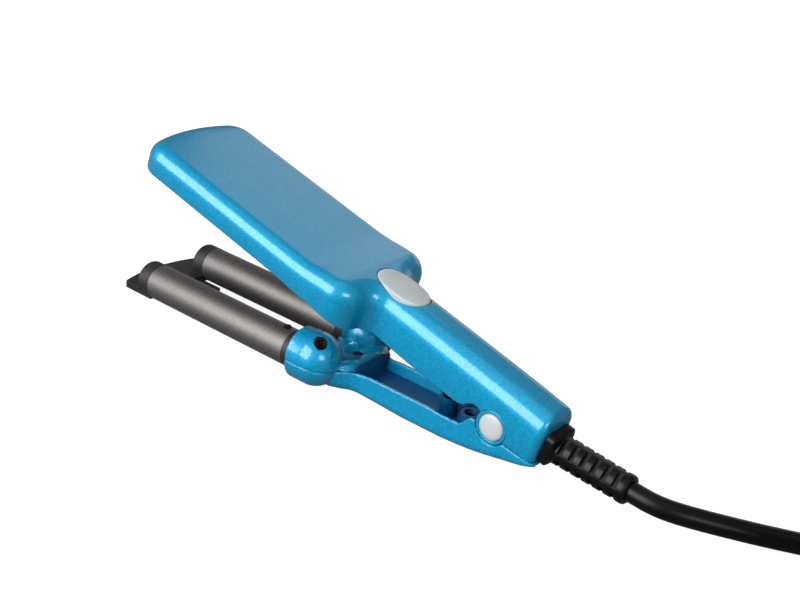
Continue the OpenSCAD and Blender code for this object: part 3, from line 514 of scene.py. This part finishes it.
def along(table, x):  # smooth value between listed stations, without overshoot
    last = len(table) - 1
    if x <= table[0][0]:
        return table[0][1]
    if x >= table[last][0]:
        return table[last][1]
    i = max(k for k in range(last) if table[k][0] <= x)

    def rise(k):
        return (table[k + 1][1] - table[k][1]) / (table[k + 1][0] - table[k][0])

    def slope(k):
        if k == 0 or k == last:
            return rise(min(k, last - 1))
        before, after = rise(k - 1), rise(k)
        return 0 if before * after <= 0 else 2 * before * after / (before + after)

    span = table[i + 1][0] - table[i][0]
    t = (x - table[i][0]) / span
    return (
        table[i][1] * (1 + 2 * t) * (1 - t) ** 2
        + span * slope(i) * t * (1 - t) ** 2
        + table[i + 1][1] * t * t * (3 - 2 * t)
        + span * slope(i + 1) * t * t * (t - 1)
    )


# upper shell: half of the plan is swept in the XY plane, pulled up over the fillet and mirrored
shell = {
    "front": (-95.3, 60.0),  # centre X and radius of the front edge
    "corner": (-144.64, 13.3),  # centres of the bends that follow it
    "shoulder": (-64.0, 12.5),
    "neck": (-48.441, 14.6),
    "end": (13.9, 6.1, 2.5),  # centre and radius of the last bend
    "endPull": 0.9,  # share of that radius by which the end wall leans in
    "headHalf": 22.2,
    "handleHalf": 8.6,
    "closerFrom": (-84, -15),  # X from where the points lie closer together, on the head and on the handle
    "wall": 1.8,
    "outerRim": ((0.2, 0.05), (0.05, 0.2), (0.0, 0.45)),  # inset and rise, from the lowest line outwards
    "lowest": (0.45, 0),
    "innerRim": ((1.6, 0.0), (1.8, 0.2)),
    "filletSteps": (12, 6),  # outside and inside
    "top": [(-200, 13.7), (-80, 13.7), (-76, 13.85), (-72, 14.25), (-68, 14.85), (-64, 15.3), (-60, 15.5),
            (-50, 15.5), (0, 15.3), (20, 14.75)],
    "fillet": [(-200, 5.1), (-76, 5.1), (-60, 5.7), (-50, 6.8), (20, 6.8)],
    "edge": [(-200, 3.65), (-84, 3.65), (-76, 3.1), (-68, 3.0), (-62, 2.4), (-57, 0.9), (-52, -0.2),
             (-45, -0.5), (-38, -0.8), (-31, -0.95), (-17, -0.95), (-14.4, -0.8), (-13.2, -0.5), (-11.8, 0),
             (-10, 1.8), (-7.9, 2.9), (-5.7, 2.4), (-3, 0), (0, -1), (5.4, -2.1), (13.9, -1.7), (17, -1.7)],
    "buttonHole": {"x": -50.5, "half": (10.25, 6.35), "z": (10, 20)},
    "pivotHole": {"radius": 5.75, "y": (6.3, 12)},
    "sleeveGap": ((13.5, -4.05, -0.1), (18, 4.05, 8.0)),
}
shellForm = bmesh.new()
planX, planY, outX, outY = [shellForm.verts.layers.float.new(name) for name in ("px", "py", "nx", "ny")]


def shellPoint(vert, inset, turn):
    x, y, nx, ny = vert[planX], vert[planY], vert[outX], vert[outY]
    radius = along(shell["fillet"], x) - inset
    s = 1 - math.cos(turn)
    z = along(shell["top"], x) - inset - radius + radius * math.sin(turn)
    xi, yi = x - nx * inset, y - ny * inset
    if x > 0:
        pull = shell["endPull"] * (shell["end"][2] - inset)
        return (xi - nx * pull * s, yi * (1 - radius * s / (shell["handleHalf"] - inset)), z)
    return (xi - nx * radius * s, yi - ny * radius * s, z)


def rimPoint(vert, inset, rise):
    x = vert[planX]
    return (x - vert[outX] * inset, vert[planY] - vert[outY] * inset, along(shell["edge"], x) + rise)


def roofPoint(vert, inset):
    return (shellPoint(vert, inset, math.pi / 2)[0], 0, along(shell["top"], vert[planX]) - inset)


def sweepPlan(form):
    done = set()

    def note(vert, normal):
        vert[planX], vert[planY] = vert.co.x, vert.co.y
        vert[outX], vert[outY] = normal
        done.add(vert)
        return vert

    def turn(vert, centre, degrees, steps, outward=1):
        bmesh.ops.spin(
            form, geom=[vert], cent=(centre[0], centre[1], 0), axis=(0, 0, 1), angle=math.radians(degrees),
            steps=steps, use_merge=False, use_duplicate=False,
        )
        fresh = [v for v in form.verts if v not in done]
        for v in fresh:
            arm = Vector((v.co.x - centre[0], v.co.y - centre[1])).normalized() * outward
            note(v, (arm.x, arm.y))
        loose = [v for v in fresh if len(v.link_edges) == 1]
        return loose[0]

    def run(vert, to, steps, normal=(0, 1)):
        start = vert.co.copy()
        for k in range(steps):
            made = bmesh.ops.extrude_vert_indiv(form, verts=[vert])
            vert = made["verts"][0]
            vert.co = start.lerp(Vector((to[0], to[1], 0)), (k + 1) / steps)
            note(vert, normal)
        return vert

    frontX, frontR = shell["front"]
    corner, shoulder, neck = shell["corner"], shell["shoulder"], shell["neck"]
    endX, endY, endR = shell["end"]
    headX, handleX = shell["closerFrom"]
    cornerAngle = math.degrees(math.atan2(corner[1], corner[0] - frontX))
    neckAngle = math.degrees(math.atan2(neck[1] - shoulder[1], neck[0] - shoulder[0]))
    # from the tip round the head to the end wall; each bend or straight is given its number of steps
    tip = note(form.verts.new((frontX - frontR, 0, 0)), (-1, 0))
    last = turn(tip, (frontX, 0), cornerAngle - 180, 14)
    last = turn(last, corner, 90 - cornerAngle, 16)
    last = run(last, (headX, shell["headHalf"]), 12)
    last = run(last, (shoulder[0], shell["headHalf"]), 20)
    last = turn(last, shoulder, neckAngle - 90, 22)
    last = turn(last, neck, 90 - neckAngle, 16, outward=-1)  # hollow
    last = run(last, (handleX, shell["handleHalf"]), 28)
    last = run(last, (endX, shell["handleHalf"]), 72)
    last = turn(last, (endX, endY), -90, 10)
    run(last, (endX + endR, 0), 6, normal=(1, 0))


def pullSkin(form, ring, rims, inset, steps):  # up from the rim, over the fillet and in to the middle line
    for rimInset, rise in rims:
        ring = pullRing(form, ring, lambda v: rimPoint(v, rimInset, rise))
    for k in range(steps + 1):
        ring = pullRing(form, ring, lambda v: shellPoint(v, inset, math.radians(90 * k / steps)))
    pullRing(form, ring, lambda v: roofPoint(v, inset))


sweepPlan(shellForm)
lowestLine = list(shellForm.edges)
for v in shellForm.verts:
    v.co = rimPoint(v, *shell["lowest"])
outerSteps, innerSteps = shell["filletSteps"]
pullSkin(shellForm, lowestLine, shell["outerRim"], 0, outerSteps)
pullSkin(shellForm, lowestLine, shell["innerRim"], shell["wall"], innerSteps)
bmesh.ops.mirror(
    shellForm, geom=shellForm.verts[:] + shellForm.edges[:] + shellForm.faces[:], axis="Y", merge_dist=0.004,
)
bmesh.ops.remove_doubles(shellForm, verts=shellForm.verts, dist=0.004)
bmesh.ops.dissolve_degenerate(shellForm, edges=shellForm.edges, dist=0.003)
openEdges = [e for e in shellForm.edges if len(e.link_faces) != 2]
print("upper shell: open edges", len(openEdges), "faces", len(shellForm.faces))
buttonHole, pivotHole = shell["buttonHole"], shell["pivotHole"]
inner, outer = pivotHole["y"]
shellForm = carve(shellForm, [
    ovalForm([(*buttonHole["half"], z) for z in buttonHole["z"]], centreX=buttonHole["x"]),
    rodForm(inner, outer, pivotHole["radius"], "Y"),
    rodForm(-outer, -inner, pivotHole["radius"], "Y"),
    blockForm(*shell["sleeveGap"]),
])
finishPiece(shellForm, "upperShell", handlePlace, ["upper_shell"], "handle", sharp=40)

# pivot hubs and their caps: outlines of (radius, y) on each side of the handle
hub = {"outer": 5.6, "bore": 4.5, "face": 8.6, "back": 5.9, "floor": 6.85, "round": 0.22}
cap = {"radius": 4.36, "edge": 8.3, "dome": 1.08, "full": 2.6, "back": 6.95, "hollow": 3.3, "roof": 8.1}
quarterTurn = (0, 0.52, 1.05, 1.57)


def roundedEdge(radius, inward, angles):
    r = hub["round"]
    return [(radius + inward * r * (1 - math.sin(a)), hub["face"] - r * (1 - math.cos(a))) for a in angles]


hubOutline = [
    (0, hub["floor"]), (hub["bore"], hub["floor"]),
    *roundedEdge(hub["bore"], 1, reversed(quarterTurn)), *roundedEdge(hub["outer"], -1, quarterTurn),
    (hub["outer"], hub["back"]), (0, hub["back"]),
]


def domeHeight(r):
    return cap["edge"] + cap["dome"] * (1 - min(1, r / cap["radius"]) ** cap["full"]) ** 0.5


capSteps = [cap["radius"] * math.sin(math.radians(k * 7.5)) for k in range(13)]  # middle to edge
capOutline = [
    *((r, domeHeight(r)) for r in capSteps),
    (cap["radius"], cap["back"]), (cap["hollow"], cap["back"]),
    (cap["hollow"], cap["roof"]), (0, cap["roof"]),
]
for side, tag in ((-1, "Near"), (1, "Far")):
    finishPiece(turned(hubOutline, side), "pivotHub" + tag, handlePlace, ["upper_shell"], "handle")
    capNode = tag.lower() + "_pivot_cap"
    finishPiece(turned(capOutline, side), "pivotCap" + tag, handlePlace, [capNode], "handle")

# button: an oval with a soft rim, on a pin and a bar that keeps it from falling out
button = {
    "x": -50.5,
    "half": (9.95, 6.05),
    "rings": [  # inset and height
        (0, 12.7), (0, 14.2), (0, 15.25), (0.03, 15.43), (0.12, 15.57), (0.27, 15.67), (0.45, 15.72),
        (1.0, 15.79), (1.9, 15.88), (3.0, 15.96), (4.2, 16.02), (5.2, 16.05),
    ],
    "pin": (10.1, 12.8, 1.5),  # foot, head and radius
    "bar": (10.9, 2, 12.1, 12.7),  # half length, half width, underside and top
}
barLong, barWide, barLow, barHigh = button["bar"]
halfLong, halfWide = button["half"]
buttonForm = joinForms([
    ovalForm([(halfLong - d, halfWide - d, z) for d, z in button["rings"]], centreX=button["x"]),
    rodForm(*button["pin"], "Z", (button["x"], 0, 0)),
    blockForm((button["x"] - barLong, -barWide, barLow), (button["x"] + barLong, barWide, barHigh)),
])
finishPiece(buttonForm, "powerButton", handlePlace, ["power_button"], "button", sharp=50)
print("upper shell, hubs, caps and button built")

# cover of the lower arm: a copy of its solid with the rear boss lowered and a collar round the spring;
# two patches then close the square wire openings in the balls
cover = {
    "bossCut": ((125.6, -3.6, -0.75), (133.5, 3.6, 2)),
    "collar": {"x": 121.3, "outer": 3.1, "bore": 2.5, "z": (-1.5, 1.7)},
    "screwHole": {"x": 79.3, "y": 15.7, "radius": 2.3, "above": 4},
    "ball": {"x": 76, "y": 13.2, "z": 1.2, "radius": 8.59, "steps": (96, 64)},
    "patch": {"x": (76.25, 81.6), "y": (0, 11.5), "z": (0.3, 3.75)},
}
coverForm = bmesh.new()
coverForm.from_mesh(nodes["arm_cover"].data)
bmesh.ops.transform(coverForm, matrix=armPlace.inverted(), verts=coverForm.verts)
bmesh.ops.remove_doubles(coverForm, verts=coverForm.verts, dist=0.001)
coverForm = carve(coverForm, [blockForm(*cover["bossCut"])])
collar = cover["collar"]
collarAt = (collar["x"], 0, 0)
collarForm = carve(
    rodForm(*collar["z"], collar["outer"], "Z", collarAt), [rodForm(-3, 3, collar["bore"], "Z", collarAt)],
)
coverForm = carve(coverForm, [collarForm], "UNION")
coverPaint = armPaint["arm_cover"]
coverPiece = finishPiece(coverForm, "armCover", armPlace, ["arm_cover"], "clamp_arm", coverPaint, sharp=30)
coverPiece.data.materials.append(shadedHole)  # faces deep in the screw holes get painted shade
hole = cover["screwHole"]
for face in coverPiece.data.polygons:
    place = armPlace.inverted() @ face.center
    across = Vector((place.x - hole["x"], abs(place.y) - hole["y"]))
    if across.length < hole["radius"] and place.z > hole["above"]:
        face.material_index = 1
ball, patch = cover["ball"], cover["patch"]
around, fromPole = ball["steps"]
for side, tag in ((-1, "Near"), (1, "Far")):
    skin = bmesh.new()
    bmesh.ops.create_uvsphere(skin, u_segments=around, v_segments=fromPole, radius=ball["radius"])
    bmesh.ops.translate(skin, verts=skin.verts, vec=(ball["x"], side * ball["y"], ball["z"]))
    corners = zip(patch["x"], sorted(side * y for y in patch["y"]), patch["z"])
    skin = carve(skin, [blockForm(*corners)], "INTERSECT")
    finishPiece(skin, "ballSide" + tag, armPlace, ["arm_cover"], "clamp_arm", coverPaint, sharp=30)
print("lower arm cover built")

# springs: the solids' own coils, copied as they stand; the foot is the end that stays
springs = {
    "return_spring": {
        "body": "clamp_arm", "joint": "arm_hinge", "tilt": 0.1, "keep": 0.585, "foot": (0.0351, 0, 0.0062),
    },
    "button_spring": {
        "body": "handle", "joint": "button_press", "tilt": openAngle, "keep": 0.64,
        "foot": tuple(handlePlace @ Vector((-50.5, 0, 8.98))),
    },
}
for nodeName, spring in springs.items():
    coil = bmesh.new()
    coil.from_mesh(nodes[nodeName].data)
    coilName = nodeName.split("_")[0] + "Coil"
    stay = Matrix.Identity(4)  # the node's mesh is already in place, in metres
    coilPiece = finishPiece(coil, coilName, stay, [nodeName], spring["body"], sharp=60, merge=0.000002)
    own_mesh(coilPiece)
print("springs built")

# strain relief: a round sleeve with slots in four rows, and a squarish block on the end wall
sleeve = {
    "start": (162.6, 0, 1.55),
    "tilt": 5.887,
    "bore": 3.29,
    "rings": [  # radius and distance from the start
        (4.1, -1.6), (4.8, -1.2), (4.95, 0.2), (4.65, 22.6), (4.75, 23.2), (4.75, 24.5), (4.5, 25.2),
        (4.1, 25.5),
    ],
    "slots": 6,
    "firstSlot": 2.7,
    "slotStep": 3.8,
    "slotHalf": (0.85, 2.6),  # along and across the sleeve
    "slotFrom": 3.4,  # height of the slot's floor over the middle of the lead
    "slotTo": 7,
    "blockRings": [
        (3.8, 14.6), (3.8, 16.3), (5.3, 16.35), (5.5, 16.6), (5.5, 19.0), (5.3, 19.35), (4.5, 19.9),
    ],
    "blockWide": 1.16,
    "blockHeight": 3.95,
    "blockPower": 0.36,  # 1 is round, 0 is square
}
sleeveForm = ovalForm([(r, r, x) for r, x in sleeve["rings"]], 1.0)
bmesh.ops.rotate(sleeveForm, verts=sleeveForm.verts, matrix=turnTo["X"])
slots = []
halfLong, halfWide = sleeve["slotHalf"]
for k in range(sleeve["slots"]):
    x = sleeve["firstSlot"] + sleeve["slotStep"] * k
    for row in range(4):
        slot = blockForm(
            (x - halfLong, -halfWide, sleeve["slotFrom"]), (x + halfLong, halfWide, sleeve["slotTo"]),
        )
        bmesh.ops.rotate(slot, verts=slot.verts, matrix=Matrix.Rotation(math.radians(45 + 90 * row), 3, "X"))
        slots.append(slot)
sleeveForm = carve(sleeveForm, slots + [rodForm(-3, 30, sleeve["bore"], "X")])
sleeveTilt = Matrix.Rotation(math.radians(sleeve["tilt"]), 4, "Y")
sleevePlace = armPlace @ Matrix.Translation(sleeve["start"]) @ sleeveTilt
finishPiece(sleeveForm, "ribbedSleeve", sleevePlace, ["strain_relief"], "handle", sharp=30)
blockRings = [(r, r * sleeve["blockWide"], x) for r, x in sleeve["blockRings"]]
endBlock = ovalForm(blockRings, sleeve["blockPower"])
bmesh.ops.rotate(endBlock, verts=endBlock.verts, matrix=turnTo["X"])
endBlock = carve(endBlock, [rodForm(10, 30, sleeve["bore"], "X")])
blockPlace = handlePlace @ Matrix.Translation((0, 0, sleeve["blockHeight"]))
finishPiece(endBlock, "sleeveBlock", blockPlace, ["strain_relief"], "handle", sharp=30)
print("strain relief built")

# plug: a flat two-pin body with three grip rings on its neck
plug = {
    "end": (0.223, -0.0135, 0.0364),
    "power": 0.72,
    "rings": [
        (3.9, 3.9, 0), (4.6, 4.6, 0.25), (4.6, 4.6, 2.9), (4.3, 4.3, 3.15), (3.95, 3.95, 3.3),
        (3.95, 3.95, 4.5), (4.7, 4.7, 4.8), (4.9, 4.9, 5.0), (4.9, 4.9, 6.9), (4.7, 4.7, 7.1),
        (4.1, 4.1, 7.3), (4.1, 4.1, 8.5),
        (5.0, 5.0, 8.8), (5.25, 5.25, 9.0), (5.25, 5.25, 10.9), (5.0, 5.0, 11.1), (4.4, 4.4, 11.4),
        (4.5, 4.5, 12.6), (5.5, 5.2, 13.4), (6.8, 5.7, 16.0), (8.6, 6.2, 19.0), (10.9, 6.55, 22.0),
        (12.5, 6.75, 25.0), (13.0, 6.8, 29.0), (13.0, 6.8, 33.0), (12.6, 6.75, 36.6), (12.3, 6.5, 37.4),
        (11.9, 6.1, 37.85), (11.4, 5.6, 38.0),
    ],
}
plugForm = ovalForm(plug["rings"], plug["power"])
bmesh.ops.rotate(plugForm, verts=plugForm.verts, matrix=Matrix.Rotation(math.pi / 2, 3, "X"))
plugPlace = Matrix.Translation(plug["end"]) @ Matrix.Rotation(-math.pi / 2, 4, "Z") @ toMetres
plugPiece = finishPiece(plugForm, "plugBody", plugPlace, ["plug_body"], "handle", sharp=40)
print("plug built")

# lead: out of the sleeve, down to the surface, then folded into a tied hank with the plug lying on it
lead = {
    "diameter": 0.0065,
    "length": 1.652,
    "exit": (0.1021, 0, 0.0085),
    "route": [  # in mm, from the sleeve to the hank
        (102.1, 0, 8.5), (105.35, 0, 8.165), (108.2, 0.15, 7.87), (112, 0.95, 7.45), (116.3, 2.75, 6.95),
        (121, 5.5, 6.3), (129.8, 11.2, 5.1), (139.8, 17.6, 4.05), (151.8, 25, 3.4), (157, 28.2, 3.4),
        (162.7, 31.6, 3.6), (168.5, 34.45, 3.85), (174, 36.2, 4.05), (179.7, 36.91, 4.15),
    ],
    "centre": (210, 5.5),  # middle of the hank
    "run": 20,  # half length of its straight runs
    "outer": 30.5,  # half width of its outermost loop
    "pitch": 7.3,  # between loops side by side, three to a layer
    "waist": 3.2,  # how far the strap draws the runs in
    "low": 4.15,
    "layer": 7.0,
    "loops": 6,
    "leadIn": 3.4,  # one more point before the first bend
    "bend": 0.125,  # turns from the middle of a run to its bend
    "tailSteps": 9,
    "plug": (-19, 36.4),  # Y from the hank's centre, and height
    "plugBack": 7,
    "plugStraight": 3.75,
}


def ease(t):
    t = max(0, min(1, t))
    return t * t * (3 - 2 * t)


def hankHalf(u):  # half width after u turns: loops go in and out by one pitch at a time
    if u < 0 or u > lead["loops"]:
        return lead["outer"] + lead["pitch"] * (-u if u < 0 else u - lead["loops"])
    return lead["outer"] - 1.5 * lead["pitch"] + lead["pitch"] * abs(1.5 - u % 3)


def hankPoint(u):
    cx, cy = lead["centre"]
    run, r = lead["run"], hankHalf(u)
    climbs = ease(2 * u - 2.5) + ease(2 * u - 5.5) + ease(2 * u - 8.5)
    z = lead["low"] + lead["layer"] * climbs
    v = (u + 1 + lead["bend"]) % 1
    if v % 0.5 < 0.25:  # along a run, drawn in at the waist
        side = 1 if v < 0.25 else -1
        x = side * run * (8 * (v % 0.5) - 1)
        return (cx + x, cy + side * (r - lead["waist"] * (1 + math.cos(math.pi * x / run)) / 2), z)
    side = 1 if v < 0.5 else -1
    a = math.radians(270 - 720 * v if v < 0.5 else 810 - 720 * v)
    return (cx + side * run + r * math.cos(a), cy + r * math.sin(a), z)


def ringTurn(i):  # 24 points a loop: 4 along each run and 8 round each bend
    stops = ((0, 0), (2, 0.125), (10, 0.375), (14, 0.625), (22, 0.875), (24, 1))
    j = i % 24
    for (j0, u0), (j1, u1) in zip(stops, stops[1:]):
        if j0 <= j < j1:
            return i // 24 + u0 + (u1 - u0) * (j - j0) / (j1 - j0)


hankEnd = 24 * lead["loops"]
hankX, hankY = lead["centre"]
plugSide, plugZ = lead["plug"]
firstX, firstY, firstZ = hankPoint(-lead["bend"])
path = lead["route"] + [(firstX - lead["leadIn"], firstY, firstZ)]
path += [hankPoint(ringTurn(i)) for i in range(-2, hankEnd)]

# the tail leaves the top loop, turns back over the hank and climbs to the plug
tailZ = hankPoint(lead["loops"])[2]
tail = [hankPoint(ringTurn(hankEnd + i))[:2] for i in range(2)]
tailOut = hankHalf(lead["loops"] + lead["bend"])
tailR = (tailOut - plugSide) / 2
for i in range(lead["tailSteps"]):
    a = math.radians(90 - 180 * i / (lead["tailSteps"] - 1))
    tail.append((
        hankX + lead["run"] + tailR * math.cos(a), hankY + (tailOut + plugSide) / 2 + tailR * math.sin(a),
    ))
path += [(x, y, tailZ + (plugZ - tailZ) * ease(i / lead["tailSteps"])) for i, (x, y) in enumerate(tail)]
plugX = hankX + lead["run"] - lead["plugBack"]
path += [(plugX + lead["plugStraight"], hankY + plugSide, plugZ), (plugX, hankY + plugSide, plugZ)]

leadCurve = bpy.data.curves.new("mainsLead", "CURVE")
leadCurve.dimensions = "3D"
leadCurve.bevel_depth = lead["diameter"] / 2
leadCurve.bevel_resolution = 6
leadCurve.resolution_u = 4
leadCurve.use_fill_caps = True
leadLine = leadCurve.splines.new("BEZIER")
leadLine.bezier_points.add(len(path) - 1)
for point, place in zip(leadLine.bezier_points, path):
    point.co = Vector(place) / 1000
    point.handle_left_type = point.handle_right_type = "AUTO"
leadObject = bpy.data.objects.new("mainsLead", leadCurve)
scene.collection.objects.link(leadObject)
leadCurve.materials.append(materials["lead_black"])
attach(leadObject, "handle")
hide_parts("cord", "cord_hank")
print("lead laid,", len(path), "points, length", sum(math.dist(p, q) for p, q in zip(path, path[1:])))
